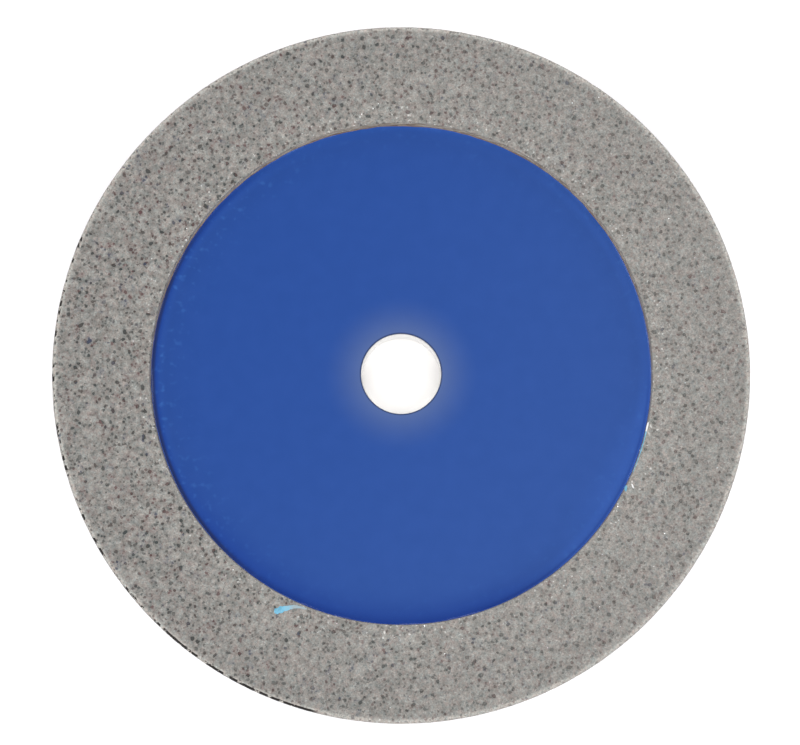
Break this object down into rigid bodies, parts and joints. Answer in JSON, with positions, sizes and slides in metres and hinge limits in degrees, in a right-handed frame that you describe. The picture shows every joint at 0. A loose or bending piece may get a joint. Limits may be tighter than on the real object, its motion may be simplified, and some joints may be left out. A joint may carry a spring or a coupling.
{
  "type": "diamond grinding wheel",
  "caption": "Face-grinding diamond wheel: a flat porous diamond ring bonded to a turned metal core with an enamelled, recessed centre and a plain arbor bore.",
  "frame": {"origin": "centre of the bore in the plane of the back seating face, the lowest point of the wheel lying on its back", "axes": "+Z along the wheel's axis towards the working face; the wheel is round, so +X and +Y are any two directions across it"},
  "size_m": [0.175, 0.175, 0.02],
  "materials": {
    "core_metal": "turned",
    "blue_enamel": "gloss enamel",
    "adhesive": "cured brown epoxy",
    "dark_backing": "matt, fired",
    "diamond_bond": "matt, porous, with bright diamond crystals"
  },
  "bodies": {
    "root": {"core_body": "core_metal", "face_enamel": "blue_enamel", "rim_enamel": "blue_enamel", "bond_film": "adhesive", "corner_bead": "adhesive", "backing_ring": "dark_backing", "abrasive_ring": "diamond_bond"}
  },
  "joints": []
}
